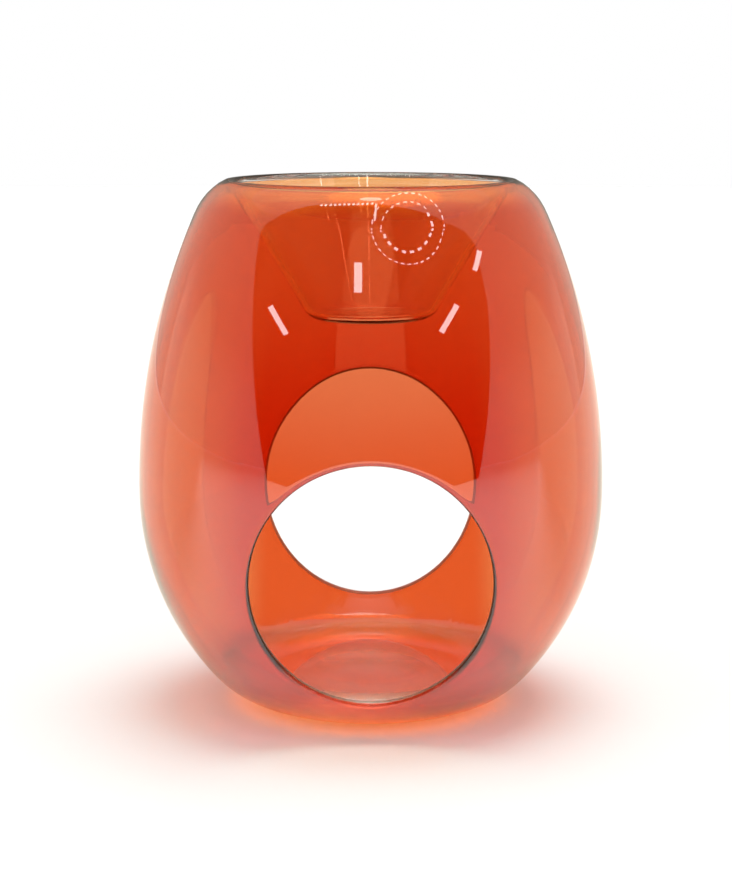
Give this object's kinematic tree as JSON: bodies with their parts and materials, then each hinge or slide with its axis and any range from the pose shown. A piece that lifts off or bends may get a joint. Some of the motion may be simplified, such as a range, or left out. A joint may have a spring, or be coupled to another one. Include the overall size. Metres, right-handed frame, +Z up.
{
  "type": "wax melt warmer",
  "caption": "Egg-shaped blown glass wax melt warmer with a large round opening in front and behind for a tealight, and a loose glass dish that rests in its open top.",
  "frame": {"origin": "on the table, under the middle of the base", "axes": "+Z up along the axis of the egg, +X to the right, the lower of the two openings faces -Y"},
  "size_m": [0.12, 0.1176, 0.1352],
  "materials": {
    "body_glass": "transparent orange red lustre glass, fire polished",
    "dish_glass": "clear colourless glass, fire polished, ground to a cone at the rim"
  },
  "bodies": {
    "body": {"glass_body": "body_glass"},
    "dish": {"wax_dish": "dish_glass"}
  },
  "joints": [
    {"name": "dish_lift", "type": "slide", "parent": "body", "child": "dish", "axis": [0, 0, 1], "range_m": [0, 0.06]}
  ]
}
